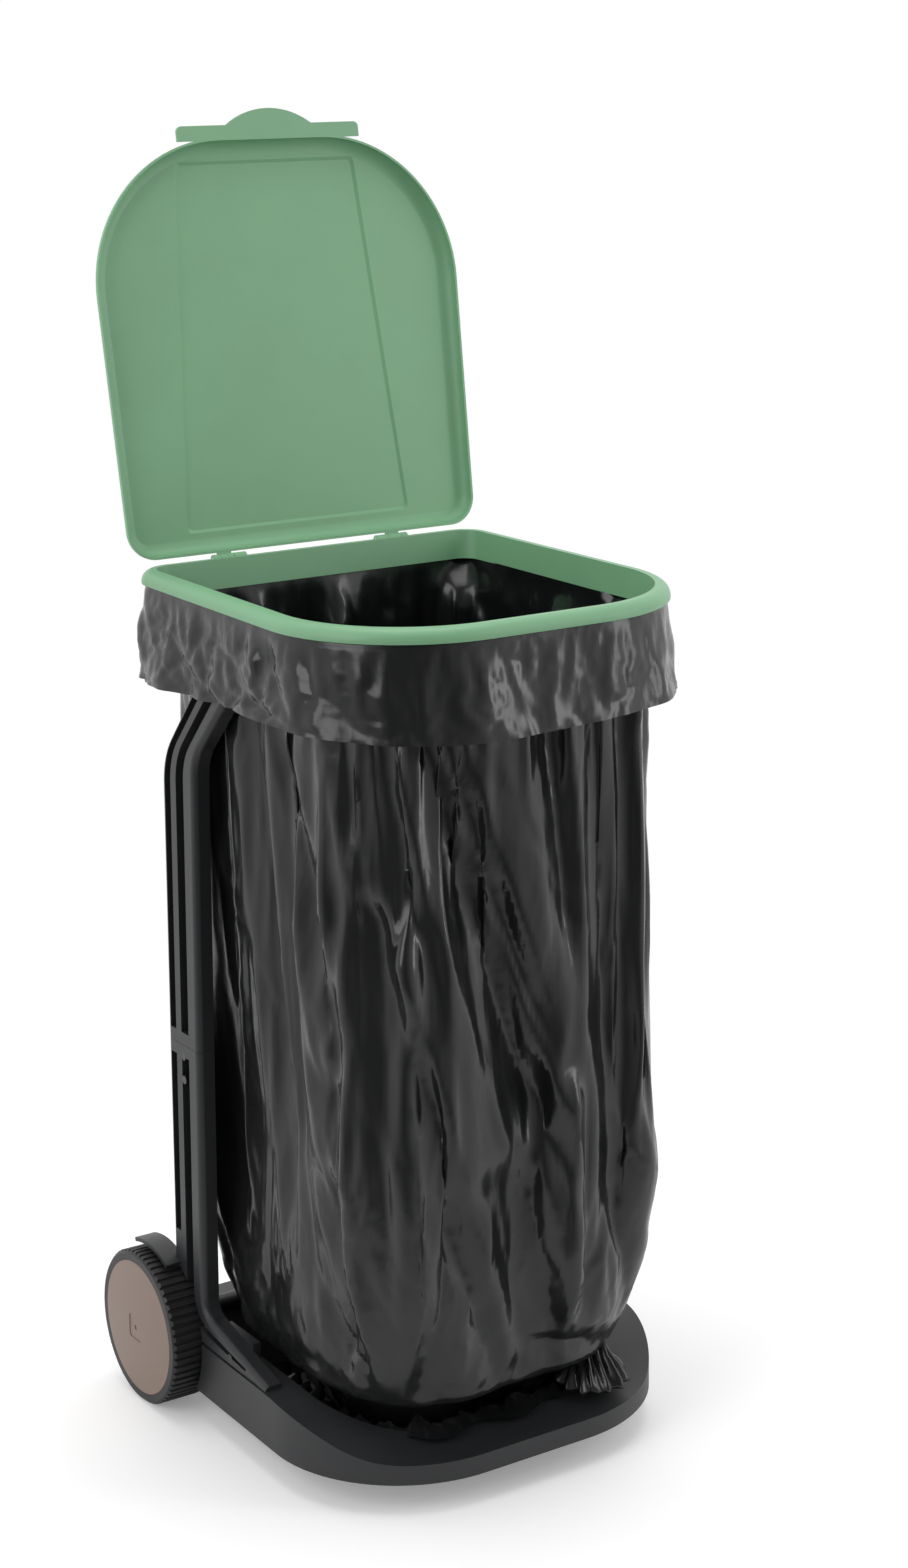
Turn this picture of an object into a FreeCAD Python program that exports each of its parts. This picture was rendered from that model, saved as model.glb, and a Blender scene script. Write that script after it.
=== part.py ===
import FreeCAD, Part
import math
import os

# Bin bag holder on two wheels. A moulded tray stands on the floor, two ribbed brackets rise from its
# sides to a frame, the bag hangs in the frame with its collar turned down outside, and a ring with a
# hinged lid clamps it. Millimetres. X is left to right, -Y is the front, +Z is up, the floor is z = 0.

Vec = FreeCAD.Vector
tiny = 0.01

# Clamp ring, seen from above: a rounded square a little wider at the front
ring_half_back = 189.8
ring_half_front = 197.4
ring_back_y = 206.0
ring_front_y = -206.0
ring_back_corner = 33.5
ring_front_corner = 136.0
ring_edge_z = 800.0
ring_roll_height = 12.6
ring_roll_depth = 8.2
ring_top_width = 14.0
ring_wall_height = 27.5
ring_wall_lean = 4.0
ring_wall = 2.4

# Support frame under the ring, and the bag film that wraps it
frame_inset = 4.4
frame_thick = 4.4
frame_above_edge = 2.0
frame_below_edge = 34.0
frame_lug_drop = 30.0
film = 1.0
film_gap = 0.3
collar_straight = 5.0
collar_drop = 84.0
collar_flare = 10.0

# Bag body, level by level: how far inside the ring it hangs at the sides' back and front end, at the
# back and at the front, then its back and front corner radii, and how far below the ring's edge
bag_levels = (
    (21.3, 21.4, 13.0, 13.0, 40.0, 118.0, 36.0),
    (21.8, 19.4, 15.0, 15.0, 40.0, 96.0, 240.0),
    (23.8, 19.4, 20.0, 19.0, 45.0, 86.0, 500.0),
    (27.8, 23.4, 28.0, 24.0, 50.0, 90.0, 600.0),
    (33.8, 31.4, 41.0, 36.0, 55.0, 100.0, 650.0),
    (43.8, 43.4, 58.0, 56.0, 60.0, 96.0, 700.0),
    (63.8, 69.4, 84.0, 90.0, 60.0, 60.0, 716.0),
    (85.8, 93.4, 94.0, 114.0, 60.0, 60.0, 770.0),
)
bag_clamp_below_edge = 14.0
bag_clamp_overlap = 3.0
bag_film_step = 0.2

# Folds of the hanging film: waves round the bag, depth and phase. The pleats run all the way down and
# drift to the right, and the gathers are bunched under the clamp.
bag_pleats = ((7, 2.4, 1.3), (11, 1.7, 0.4), (17, 1.2, 2.0))
bag_gathers = ((25, 1.9, 0.3),)
bag_pleat_drift = 0.12
bag_gather_length = 180.0
# Long creases: place round the bag and drop below the edge of each end, height and half width
bag_creases = (
    (0.701, 40.0, 0.718, 470.0, 3.6, 16.0),
    (0.655, 40.0, 0.640, 200.0, 3.4, 18.0),
    (0.597, 40.0, 0.500, 420.0, 5.0, 24.0),
    (0.494, 50.0, 0.474, 320.0, 3.6, 16.0),
    (0.447, 50.0, 0.437, 380.0, 3.6, 18.0),
    (0.588, 380.0, 0.586, 600.0, -4.0, 16.0),
    (0.470, 480.0, 0.468, 650.0, -4.0, 16.0),
)
bag_fold_drops = (60.0, 100.0, 160.0, 240.0, 330.0, 420.0, 500.0, 560.0, 600.0, 650.0, 700.0, 716.0, 770.0)
bag_points = 100
bag_post_clear = 0.6
hem_waves = ((9, 2.2, 0.7), (25, 1.5, 2.1))

# Lid, drawn closed and then opened against its stop
lid_back_side_inset = 0.8
lid_front_side_overhang = 0.6
lid_back_from_hinge = 6.0
lid_front_from_hinge = 393.0
lid_back_corner = 28.0
lid_front_corner = 140.0
lid_depth = 16.0
lid_side_band = 14.0
lid_wall = 2.2
lid_seat_gap = 0.4
lid_open_deg = 98.9
panel_half_front = 97.0
panel_half_back = 122.0
panel_margin = 20.0
panel_step = 1.8
panel_step_width = 3.0
lip_half = 98.0
lip_reach = 12.0
lip_thick = 3.0
lip_end_radius = 5.0
panel_corner = 5.0
tab_half = 46.0
tab_reach = 15.0
tab_thick = 2.2

# Lid hinge, let into the back of the ring
hinge_inset = 7.0
hinge_up = 11.1
knuckle_radius = 4.6
lug_in = 72.0
lug_width = 13.0
knuckle_width = 14.0
knuckle_gap = 0.4
knuckle_clear = 0.6
pin_radius = 2.0
pin_clear = 0.06

# Brackets at the sides, drawn by their front and rear lines in the side view
post_outside_ring = 0.8
post_thick = 17.0
post_top_front_y = -20.0
post_top_back_y = 45.0
post_bend_front = (90.0, 652.0)
post_bend_back = (152.0, 645.0)
post_bend_front_radius = 45.0
post_bend_back_radius = 70.0
post_knee_front = (101.0, 112.0)
post_knee_back = (158.0, 84.0)
post_knee_front_radius = 18.0
post_knee_back_radius = 60.0
post_toe_y = -16.0
post_toe_thick = 4.0
post_toe_slot_start = 36.0
post_edge_radius = 6.0
post_slot_depth = 9.0
post_slot_wide = (0.31, 0.55)
post_slot_narrow = (0.72, 0.90)
post_slot_end = 12.0
post_narrow_slot_low_z = 182.0
post_seam_z = 372.0
post_seam_gap = 0.3
post_tongue = 46.0
post_tongue_margin = 3.4
post_tongue_clear = 0.2
post_tongue_root = 1.0
post_seat_wall = 3.0

# Tray
tray_inside_posts = 0.6
tray_front_inside_ring = 2.9
tray_back_y = 216.0
tray_front_y = -178.5
tray_back_corner = 60.0
tray_front_corner = 137.0
tray_skirt_z = 29.4
tray_rim_z = 80.0
tray_front_rim_z = 48.0
tray_rise_start_y = -165.0
tray_rise_end_y = -16.0
tray_rise_low_run = 50.0
tray_rise_high_run = 84.0
tray_wall = 3.0
tray_rim_width = 30.0
tray_foot_inset = 75.0
foot_lug_thick = 8.0
foot_lug_front_y = 36.0
foot_lug_back_y = 92.0
foot_lug_height = 22.0

# Wheels and axle
wheel_radius = 75.0
wheel_width = 44.0
wheel_outside_post = 27.8
wheel_arch_front_y = 105.0
wheel_to_post = 4.0
wheel_to_tray = 4.0
tread_ribs = 60
tread_depth = 1.8
tread_rib_share = 0.5
tread_flank_share = 0.12
tread_shoulder = 3.0
rim_wall = 8.0
hub_radius = 14.0
web_thick = 6.0
axle_radius = 5.0
axle_clear = 0.08
axle_housing_radius = 9.5
hub_gap = 0.5
hub_width = 28.0
clip_radius = 9.0
clip_thick = 2.0
axle_end = 2.0
cap_radius = 65.0
cap_recess = 4.0
cap_dome = 3.0
cap_gap = 0.3
cap_mark = 24.0
cap_mark_corner = 4.0
cap_mark_depth = 0.8
cap_dimple_radius = 2.6

# Fender over each wheel, moulded on the lower bracket
fender_gap = 5.0
fender_thick = 4.0
fender_reach_x = 15.0
fender_front_deg = 118.0
fender_back_deg = 72.0

# Screws
screw_radius = 2.0
screw_head_radius = 4.0
screw_head = 2.0
screw_depth = 12.0
frame_screw_spread = 24.0
frame_screw_seat_gap = 0.1


def rounded(points, radii, place):
    """Closed wire through the points, each corner rounded by its radius (0 leaves it sharp)."""
    edges = []
    ends = []
    count = len(points)
    for i in range(count):
        p = Vec(points[i][0], points[i][1], 0)
        a = Vec(points[i - 1][0], points[i - 1][1], 0) - p
        b = Vec(points[(i + 1) % count][0], points[(i + 1) % count][1], 0) - p
        a.normalize()
        b.normalize()
        if radii[i] <= 0:
            ends.append((p, p, None))
            continue
        half = a.getAngle(b) / 2
        run = radii[i] / math.tan(half)
        middle = a + b
        middle.normalize()
        mid = p + middle * (radii[i] / math.sin(half) - radii[i])
        ends.append((p + a * run, p + b * run, mid))
    for i in range(count):
        start, stop, mid = ends[i]
        if mid is not None:
            edges.append(Part.Arc(place(start), place(mid), place(stop)).toShape())
        following = ends[(i + 1) % count][0]
        if (following - stop).Length > 1e-6:
            edges.append(Part.LineSegment(place(stop), place(following)).toShape())
    return Part.Wire(edges)


def plan(spec, inset, z):
    """Rounded trapezoid in plan, moved inwards by an inset, starting at the middle of its back."""
    half_back, half_front, back_y, front_y, back_corner, front_corner = spec
    slope = (half_front - half_back) / (back_y - front_y)
    side_inset = inset * math.sqrt(1 + slope * slope)

    def half(y):
        return half_back + slope * (back_y - y) - side_inset

    back = back_y - inset
    front = front_y + inset
    points = [(0, back), (half(back), back), (half(front), front), (-half(front), front), (-half(back), back)]
    radii = [0, back_corner - inset, front_corner - inset, front_corner - inset, back_corner - inset]
    return rounded(points, radii, lambda p: Vec(p.x, p.y, z))


def prism(spec, inset, low, high):
    return Part.Face(plan(spec, inset, low)).extrude(Vec(0, 0, high - low))


def taper(spec, low_inset, low, high_inset, high):
    return Part.makeLoft([plan(spec, low_inset, low), plan(spec, high_inset, high)], True, True)


def sweep(spec, profile):
    """Sweep a closed section, drawn as a wire at the middle of the back, round the plan."""
    shell = Part.BRepOffsetAPI.MakePipeShell(plan(spec, 0, 0))
    shell.setBiNormalMode(Vec(0, 0, 1))
    shell.add(profile)
    shell.build()
    shell.makeSolid()
    return shell.shape()


def section(spec, steps, z):
    """Closed section from lines and arcs; each step is (inset, height) or a pair of points for an arc."""
    back_y = spec[2]

    def at(pair):
        return Vec(0, back_y - pair[0], z + pair[1])

    edges = []
    here = at(steps[0])
    for step in steps[1:] + steps[:1]:
        if isinstance(step[0], tuple):
            edges.append(Part.Arc(here, at(step[0]), at(step[1])).toShape())
            here = at(step[1])
        elif (at(step) - here).Length > 1e-6:
            edges.append(Part.LineSegment(here, at(step)).toShape())
            here = at(step)
    return Part.Wire(edges)


def box(x0, x1, y0, y1, z0, z1):
    return Part.makeBox(x1 - x0, y1 - y0, z1 - z0, Vec(x0, y0, z0))


def rod_x(radius, x0, x1, y, z):
    return Part.makeCylinder(radius, x1 - x0, Vec(x0, y, z), Vec(1, 0, 0))


def both(shape):
    """The shape on the right and its mirror image on the left."""
    return shape, mirrored(shape)


def mirrored(shape):
    return shape.mirror(Vec(0, 0, 0), Vec(1, 0, 0))


def joined(shapes):
    whole = shapes[0]
    for shape in shapes[1:]:
        whole = whole.fuse(shape)
    return whole.removeSplitter()


def save(shape, node):
    shape.exportStep("parts/" + node + ".step")


post_face_x = ring_half_back + post_outside_ring
tray_half_back = post_face_x - tray_inside_posts
tray_half_front = ring_half_front - tray_front_inside_ring
wheel_face_x = post_face_x + wheel_outside_post
wheel_y = wheel_arch_front_y + wheel_radius + wheel_to_post
beyond = 2 * (post_face_x + wheel_y + wheel_radius)
ring_plan = (ring_half_back, ring_half_front, ring_back_y, ring_front_y, ring_back_corner, ring_front_corner)
tray_plan = (tray_half_back, tray_half_front, tray_back_y, tray_front_y, tray_back_corner, tray_front_corner)
hinge_y = ring_back_y - hinge_inset
hinge_z = ring_edge_z + hinge_up
knuckle_in = lug_in + lug_width + knuckle_gap
knuckle_out = knuckle_in + knuckle_width
outer_lug_in = knuckle_out + knuckle_gap
outer_lug_out = outer_lug_in + lug_width / 2
frame_low_z = ring_edge_z - frame_below_edge
frame_top_z = ring_edge_z + frame_above_edge
post_inner_x = post_face_x - post_thick
arch_radius = wheel_radius + wheel_to_post
wheel_inner_x = wheel_face_x - wheel_width
tray_side_x = wheel_inner_x - wheel_to_tray


def make_clamp_ring():
    roll = ring_roll_depth
    high = ring_roll_height
    top = ring_top_width
    low = high - ring_wall_height
    turn = math.sqrt(0.5)
    inner = ring_wall
    outside = ((roll - roll * turn, high * turn), (roll, high))
    inside = ((roll - (roll - inner) * turn, (high - inner) * turn), (inner, 0))
    profile = section(ring_plan, [(0, 0), outside, (top, high), (top + ring_wall_lean, low),
                                  (top + ring_wall_lean - inner, low), (top - inner, high - inner),
                                  (roll, high - inner), inside], ring_edge_z)
    ring = sweep(ring_plan, profile)
    lugs = []
    pockets = []
    bores = []
    for x0, x1 in ((lug_in, lug_in + lug_width), (outer_lug_in, outer_lug_out)):
        lugs.extend(both(rod_x(knuckle_radius, x0, x1, hinge_y, hinge_z)))
    pocket = rod_x(knuckle_radius + knuckle_clear, knuckle_in - knuckle_gap, outer_lug_in, hinge_y, hinge_z)
    pockets.extend(both(pocket))
    bores.extend(both(rod_x(pin_radius, lug_in, outer_lug_out, hinge_y, hinge_z)))
    ring = joined([ring] + lugs)
    for cut in pockets + bores:
        ring = ring.cut(cut)
    return ring


def make_support_frame():
    low = -frame_below_edge
    profile = section(ring_plan, [(frame_inset, low), (frame_inset, frame_above_edge),
                                  (frame_inset + frame_thick, frame_above_edge),
                                  (frame_inset + frame_thick, low)], ring_edge_z)
    frame = sweep(ring_plan, profile)
    drop = prism(ring_plan, frame_inset, frame_low_z - frame_lug_drop, frame_low_z)
    drop = drop.cut(prism(ring_plan, frame_inset + frame_thick, frame_low_z - frame_lug_drop, frame_low_z))
    lug = drop.common(box(0, beyond, post_top_front_y, post_top_back_y, 0, frame_low_z))
    frame = joined([frame] + list(both(lug)))
    for hole in frame_screw_places():
        for cut in both(rod_x(screw_radius, 0, beyond, hole, frame_screw_z)):
            frame = frame.cut(cut)
    return frame


def frame_screw_places():
    middle = (post_top_front_y + post_top_back_y) / 2
    return (middle - frame_screw_spread / 2, middle + frame_screw_spread / 2)


frame_screw_z = frame_low_z - frame_lug_drop / 2


def bag_level(drop):
    """The bag's plain plan and height at a drop below the ring's edge, blended between its levels."""
    levels = bag_levels
    for upper, lower in zip(levels, levels[1:]):
        if drop <= lower[-1]:
            break
    share = min(max((drop - upper[-1]) / (lower[-1] - upper[-1]), 0), 1)
    side_back, side_front, back, front, back_corner, front_corner = [
        a + share * (b - a) for a, b in zip(upper[:-1], lower[:-1])]
    return (ring_half_back - side_back, ring_half_front - side_front, ring_back_y - back,
            ring_front_y + front, back_corner, front_corner)


def fade(value, start, stop):
    """Rises smoothly from 0 at start to 1 at stop."""
    share = min(max((value - start) / (stop - start), 0), 1)
    return share * share * (3 - 2 * share)


def fold_height(place, drop, around):
    """How far the film stands out at a place round the bag (0 to 1 from the middle of its back)."""
    turn = 2 * math.pi
    low = bag_levels[-1][-1]
    run = drop / low
    held = fade(drop, bag_clamp_below_edge, 2 * bag_levels[0][-1]) * fade(low - drop, 0, low / 4)
    out = 0
    for waves, depth, phase in bag_pleats:
        out += depth * math.sin(turn * waves * (place + bag_pleat_drift * run) + phase)
    for waves, depth, phase in bag_gathers:
        bunched = fade(bag_gather_length - drop, 0, bag_gather_length)
        out += depth * math.sin(turn * waves * place + phase) * bunched
    for place_top, top, place_low, bottom, depth, half in bag_creases:
        middle = place_top + (place_low - place_top) * (drop - top) / (bottom - top)
        ends = fade(drop, top - 3 * half, top) * fade(bottom + 3 * half - drop, 0, 3 * half)
        out += depth * ends * math.exp(-(((place - middle) * around / half) ** 2))
    return out * held


def folded(spec, z, out, heights):
    """Points round the plan at height z, each moved outwards by out and a height of its own."""
    ring = plan(spec, 0, z)
    spots = ring.discretize(Number=bag_points + 1)[:-1]
    moved = []
    for i, spot in enumerate(spots):
        along = spots[(i + 1) % bag_points] - spots[i - 1]
        normal = Vec(0, 0, 1).cross(along)
        normal.normalize()
        push = out + heights(i / bag_points, ring.Length)
        moved.append(spot + normal * push)
    return moved


def film_wire(points):
    """The film's course at one height, as short straight runs between creases."""
    return Part.makePolygon(points + points[:1])


def bag_wire(drop, inset, held_off):
    """The film at a drop below the edge, kept clear of the brackets that it hangs against."""
    kept = []
    z = ring_edge_z - drop
    for spot in folded(bag_level(drop), z, 0, lambda place, around: fold_height(place, drop, around)):
        if spot.y > 2 * post_top_front_y and abs(spot.x) > held_off:
            spot = Vec(math.copysign(held_off, spot.x), spot.y, spot.z)
        kept.append(spot)
    if inset:
        count = len(kept)
        inner = []
        for i in range(count):
            normal = Vec(0, 0, 1).cross(kept[(i + 1) % count] - kept[i - 1])
            normal.normalize()
            inner.append(kept[i] - normal * inset)
        kept = inner
    return film_wire(kept)


def clamp_wire(inset):
    """The film's start in the clamp, just inside the leg that hangs from the frame's top."""
    leg = frame_inset + frame_thick + film_gap + bag_film_step + inset
    z = ring_edge_z - bag_clamp_below_edge + bag_clamp_overlap
    return film_wire(folded(ring_plan, z, -leg, lambda place, around: 0))


def hem_height(place, around):
    turn = 2 * math.pi
    return sum(depth * math.sin(turn * waves * place + phase) for waves, depth, phase in hem_waves)


def collar_skirt(out):
    """The turned-down collar's face from the frame's band out to its wavy hem, as a solid."""
    start = ring_edge_z - collar_straight + bag_clamp_overlap
    top = folded(ring_plan, start, out + bag_film_step, lambda place, around: 0)
    low = folded(ring_plan, ring_edge_z - collar_drop, out + collar_flare, hem_height)
    return Part.makeLoft([film_wire(top), film_wire(low)], True, True)


def make_bin_bag():
    inner_leg = frame_inset + frame_thick + film_gap
    outer_leg = frame_inset - film_gap
    cap = frame_above_edge + film_gap
    clamp = -bag_clamp_below_edge
    low = -collar_straight
    profile = section(ring_plan, [(inner_leg, clamp), (inner_leg, cap), (outer_leg, cap), (outer_leg, low),
                                  (outer_leg - film, low), (outer_leg - film, cap + film),
                                  (inner_leg + film, cap + film), (inner_leg + film, clamp)], ring_edge_z)
    top = sweep(ring_plan, profile)
    skirt = collar_skirt(film - outer_leg).cut(collar_skirt(-outer_leg))
    held_off = post_inner_x - bag_post_clear
    outside = [clamp_wire(0)]
    inside = [clamp_wire(film)]
    for drop in (bag_levels[0][-1],) + bag_fold_drops:
        outside.append(bag_wire(drop, 0, held_off))
        floor = film if drop == bag_fold_drops[-1] else 0
        inside.append(bag_wire(drop - floor, film, held_off))
    body = Part.makeLoft(outside, True, True).cut(Part.makeLoft(inside, True, True))
    return top.fuse(skirt).fuse(body)


def make_lid():
    back = hinge_y - lid_back_from_hinge
    front = hinge_y - lid_front_from_hinge
    lid_plan = (ring_half_back - lid_back_side_inset, ring_half_front + lid_front_side_overhang, back, front,
                lid_back_corner, lid_front_corner)
    rim_z = ring_edge_z + ring_roll_height + lid_seat_gap
    turn = math.sqrt(0.5)
    band = lid_side_band
    deep = lid_depth
    wall = lid_wall
    outside = ((band - band * turn, deep * turn), (band, deep))
    inside = ((band - (band - wall) * turn, (deep - wall) * turn), (wall, 0))
    profile = section(lid_plan, [(0, 0), outside, (band + wall, deep), (band + wall, deep - wall),
                                 (band, deep - wall), inside], rim_z)
    lid = sweep(lid_plan, profile)
    plate = prism(lid_plan, band + wall / 2, rim_z + deep - wall, rim_z + deep)
    pad = panel(back, front, rim_z + deep, panel_step)
    pocket = panel(back, front, rim_z + deep - wall, panel_step)
    lip = lid_lip(front, rim_z)
    barrel = rod_x(knuckle_radius, knuckle_in, knuckle_out, hinge_y, hinge_z)
    arm = box(knuckle_in, knuckle_out, back - lid_wall, hinge_y, rim_z, hinge_z + knuckle_radius)
    lid = joined([lid, plate, pad, lip] + list(both(barrel.fuse(arm))))
    lid = lid.cut(pocket)
    for bore in both(rod_x(pin_radius + pin_clear, lug_in, outer_lug_out, hinge_y, hinge_z)):
        lid = lid.cut(bore)
    lid.rotate(Vec(0, hinge_y, hinge_z), Vec(1, 0, 0), -lid_open_deg)
    return lid


def panel(back, front, z, height):
    """The long middle panel of the lid: a low frustum, wider at the hinge."""
    wires = []
    for shrink, level in ((0, z), (panel_step_width, z + height)):
        y0 = back - panel_margin - shrink
        y1 = front + panel_margin + shrink
        half0 = panel_half_back - shrink
        half1 = panel_half_front - shrink
        corners = [(half0, y0), (half1, y1), (-half1, y1), (-half0, y0)]
        wires.append(rounded(corners, [panel_corner] * 4, lambda p: Vec(p.x, p.y, level)))
    return Part.makeLoft(wires, True, True)


def lid_lip(front, z):
    """The stiff lip on the front edge, and the half-moon finger tab on it."""
    edge = front - lip_reach
    root = front + lid_wall
    corners = [(lip_half, root), (lip_half, edge), (-lip_half, edge), (-lip_half, root)]
    lip = Part.Face(rounded(corners, [0, lip_end_radius, lip_end_radius, 0], lambda p: Vec(p.x, p.y, z)))
    lip = lip.extrude(Vec(0, 0, lip_thick))
    ends = (Vec(tab_half, edge, z), Vec(0, edge - tab_reach, z), Vec(-tab_half, edge, z))
    moon = Part.Wire([Part.Arc(*ends).toShape(), Part.LineSegment(ends[2], ends[0]).toShape()])
    return lip.fuse(Part.Face(moon).extrude(Vec(0, 0, tab_thick)))


def make_hinge_pin():
    return rod_x(pin_radius, lug_in, outer_lug_out, hinge_y, hinge_z)


def side_line(share):
    """The bracket's run in the side view, at a share of the way from its front to its rear line."""
    front = [(post_top_front_y, frame_low_z), post_bend_front, post_knee_front,
             (post_toe_y, tray_rim_z + post_toe_thick)]
    back = [(post_top_back_y, frame_low_z), post_bend_back, post_knee_back, (post_toe_y, tray_rim_z)]
    points = []
    for near, far in zip(front, back):
        points.append((near[0] + share * (far[0] - near[0]), near[1] + share * (far[1] - near[1])))
    bend = post_bend_front_radius + share * (post_bend_back_radius - post_bend_front_radius)
    knee = post_knee_front_radius + share * (post_knee_back_radius - post_knee_front_radius)
    return points, [0, bend, knee, 0]


def side_band(low_share, high_share, x, depth):
    """A solid band between two such lines, from x inwards by a depth."""
    near, near_radii = side_line(low_share)
    far, far_radii = side_line(high_share)
    points = near + far[::-1]
    radii = near_radii + far_radii[::-1]
    wire = rounded(points, radii, lambda p: Vec(x, p.x, p.y))
    return Part.Face(wire).extrude(Vec(-depth, 0, 0))


def make_posts():
    whole = side_band(0, 1, post_face_x, post_thick)
    whole = whole.cut(box(0, beyond, -beyond, beyond, 0, tray_rim_z))
    whole = whole.cut(rod_x(arch_radius, 0, beyond, wheel_y, wheel_radius))
    edges = []
    for edge in whole.Edges:
        middle = edge.CenterOfMass
        on_face = abs(middle.x - post_face_x) < tiny
        if on_face and post_narrow_slot_low_z < middle.z < frame_low_z - tiny:
            edges.append(edge)
    whole = whole.makeFillet(post_edge_radius, edges)
    seat = box(ring_half_back - frame_inset - frame_thick - post_seat_wall, beyond, -beyond, beyond,
               frame_low_z - frame_lug_drop, beyond)
    band_space = prism(ring_plan, 0, 0, beyond).cut(
        prism(ring_plan, frame_inset + frame_thick + film_gap, 0, beyond))
    whole = whole.cut(seat.common(band_space))
    whole = whole.cut(seat.cut(prism(ring_plan, frame_inset, 0, beyond)))
    wide = side_band(post_slot_wide[0], post_slot_wide[1], post_face_x, post_slot_depth)
    narrow = side_band(post_slot_narrow[0], post_slot_narrow[1], post_face_x, post_slot_depth)
    keep_high = frame_low_z - frame_lug_drop - post_slot_end
    seam_low = post_seam_z - post_slot_end
    seam_high = post_seam_z + post_slot_end
    toe_start = post_toe_y + post_toe_slot_start
    spans = ((wide, seam_high, keep_high, -beyond), (wide, 0, seam_low, toe_start),
             (narrow, seam_high, keep_high, -beyond), (narrow, post_narrow_slot_low_z, seam_low, -beyond))
    for slot, low, high, front in spans:
        whole = whole.cut(slot.common(box(0, beyond, front, beyond, low, high)))
    upper = whole.common(box(0, beyond, -beyond, beyond, post_seam_z, beyond))
    lower = whole.common(box(0, beyond, -beyond, beyond, 0, post_seam_z - post_seam_gap))
    front_y = post_front_at(post_seam_z - post_tongue)
    back_y = post_back_at(post_seam_z)
    margin = post_tongue_margin
    x0 = post_inner_x + margin
    x1 = post_face_x - post_slot_depth - post_tongue_clear
    y0 = front_y + margin + post_edge_radius
    y1 = back_y - margin - post_edge_radius
    tip = post_seam_z - post_tongue
    tongue = box(x0, x1, y0, y1, tip, post_seam_z + post_tongue_root)
    clear = post_tongue_clear
    socket = box(x0 - clear, x1 + clear, y0 - clear, y1 + clear, tip - clear, post_seam_z)
    upper = joined([upper, tongue])
    lower = lower.cut(socket)
    lower = joined([lower, make_fender()])
    return upper, lower, x0, x1


def post_front_at(z):
    share = (post_bend_front[1] - z) / (post_bend_front[1] - post_knee_front[1])
    return post_bend_front[0] + share * (post_knee_front[0] - post_bend_front[0])


def post_back_at(z):
    share = (post_bend_back[1] - z) / (post_bend_back[1] - post_knee_back[1])
    return post_bend_back[0] + share * (post_knee_back[0] - post_bend_back[0])


def make_fender():
    inner = wheel_radius + fender_gap
    outer = inner + fender_thick

    def at(radius, degrees):
        angle = math.radians(degrees)
        return Vec(post_face_x - post_edge_radius, wheel_y + radius * math.cos(angle),
                   wheel_radius + radius * math.sin(angle))

    middle = (fender_front_deg + fender_back_deg) / 2
    edges = [Part.Arc(at(inner, fender_front_deg), at(inner, middle), at(inner, fender_back_deg)).toShape(),
             Part.LineSegment(at(inner, fender_back_deg), at(outer, fender_back_deg)).toShape(),
             Part.Arc(at(outer, fender_back_deg), at(outer, middle), at(outer, fender_front_deg)).toShape(),
             Part.LineSegment(at(outer, fender_front_deg), at(inner, fender_front_deg)).toShape()]
    return Part.Face(Part.Wire(edges)).extrude(Vec(fender_reach_x + post_edge_radius, 0, 0))


def below_rim(drop):
    """Everything below the rim's top line, which rises from the front to the sides."""
    low = tray_front_rim_z - drop
    high = tray_rim_z - drop
    start = tray_rise_start_y
    end = tray_rise_end_y

    def at(y, z):
        return Vec(-beyond, y, z)

    curve = Part.BezierCurve()
    curve.setPoles([at(start, low), at(start + tray_rise_low_run, low), at(end - tray_rise_high_run, high),
                    at(end, high)])
    corners = [at(end, high), at(beyond, high), at(beyond, -beyond), at(-beyond, -beyond), at(-beyond, low),
               at(start, low)]
    edges = [Part.LineSegment(corners[i], corners[i + 1]).toShape() for i in range(len(corners) - 1)]
    edges.append(curve.toShape())
    return Part.Face(Part.Wire(edges)).extrude(Vec(2 * beyond, 0, 0))


def arch(grow):
    """The space that each wheel turns in, with some extra all round."""
    return rod_x(arch_radius + grow, tray_side_x - grow, beyond, wheel_y, wheel_radius)


def make_base_tray():
    wall = tray_wall
    outer = prism(tray_plan, 0, tray_skirt_z, tray_rim_z).common(below_rim(0))
    under = prism(tray_plan, wall, 0, tray_rim_z).common(below_rim(wall))
    for side in both(arch(0)):
        outer = outer.cut(side)
    for side in both(arch(wall)):
        under = under.cut(side)
    tub = taper(tray_plan, tray_foot_inset, 0, tray_rim_width, tray_rim_z).common(below_rim(0))
    hollow = taper(tray_plan, tray_foot_inset + wall, wall, tray_rim_width + wall, tray_rim_z + wall)
    tray = outer.cut(under)
    tray = tray.fuse(tub).cut(hollow)
    boss_x = wheel_inner_x - hub_gap
    housing = rod_x(axle_housing_radius, -boss_x, boss_x, wheel_y, wheel_radius)
    lug = box(post_inner_x - foot_lug_thick, post_inner_x, foot_lug_front_y, foot_lug_back_y,
              tray_rim_z - wall, tray_rim_z + foot_lug_height)
    tray = joined([tray, housing] + list(both(lug)))
    tray = tray.cut(rod_x(axle_radius, -boss_x, boss_x, wheel_y, wheel_radius))
    for place in foot_screw_places():
        for cut in both(rod_x(screw_radius, 0, post_inner_x, place, foot_screw_z)):
            tray = tray.cut(cut)
    return tray


def foot_screw_places():
    quarter = (foot_lug_back_y - foot_lug_front_y) / 4
    return (foot_lug_front_y + quarter, foot_lug_back_y - quarter)


foot_screw_z = tray_rim_z + foot_lug_height / 3


def screw(x_face, y, z, depth):
    """A pan-head screw driven inwards from the face at x_face, its head seated in its pocket."""
    shank = rod_x(screw_radius, x_face - depth, x_face, y, z)
    head = rod_x(screw_head_radius, x_face, x_face + screw_head, y, z)
    return shank.fuse(head)


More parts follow.
